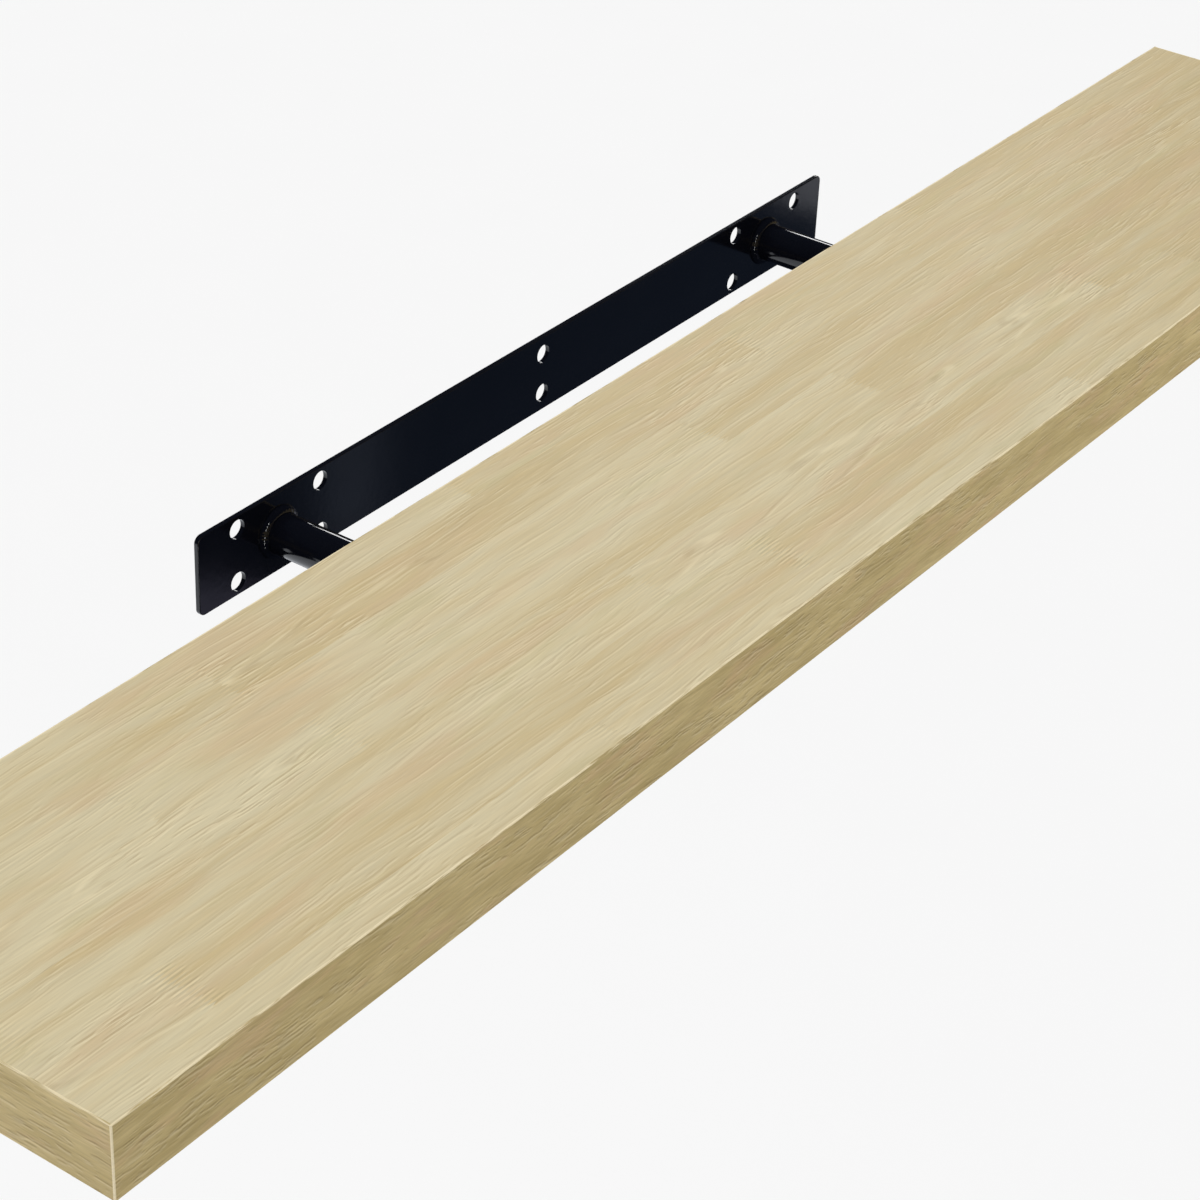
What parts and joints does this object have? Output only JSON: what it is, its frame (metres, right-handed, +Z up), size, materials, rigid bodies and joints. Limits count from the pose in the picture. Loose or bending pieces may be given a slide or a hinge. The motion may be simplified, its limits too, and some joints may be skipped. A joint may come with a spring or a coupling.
{
  "type": "floating wall shelf",
  "caption": "Floating wall shelf: an oak-effect board that slides onto tubes standing out from a black steel wall plate with screw holes.",
  "frame": {"origin": "centre of the wall plate's back face, on the wall", "axes": "+X along the shelf to the right as seen from the room, +Y into the wall, +Z up"},
  "size_m": [1.2, 0.2565, 0.045],
  "materials": {
    "black_paint": "gloss",
    "plug_plastic": "matte",
    "oak_face": "satin",
    "oak_edge": "satin",
    "rail_wood": "matte",
    "block_wood": "matte",
    "core_paper": "matte"
  },
  "bodies": {
    "bracket": {"wall_plate": "black_paint", "left_tube": "black_paint", "right_tube": "black_paint", "left_weld_bead": "black_paint", "right_weld_bead": "black_paint", "left_end_plug": "plug_plastic", "right_end_plug": "plug_plastic"},
    "shelf": {"top_panel": "oak_face", "bottom_panel": "oak_face", "front_edge_band": "oak_edge", "back_edge_band": "oak_edge", "left_edge_band": "oak_edge", "right_edge_band": "oak_edge", "front_rail": "rail_wood", "back_rail": "rail_wood", "left_end_rail": "rail_wood", "right_end_rail": "rail_wood", "left_tube_block": "block_wood", "right_tube_block": "block_wood", "left_core": "core_paper", "centre_core": "core_paper", "right_core": "core_paper"}
  },
  "joints": [
    {"name": "shelf_slide", "type": "slide", "parent": "bracket", "child": "shelf", "axis": [0, 1, 0], "range_m": [-0.11, 0.0535]}
  ]
}
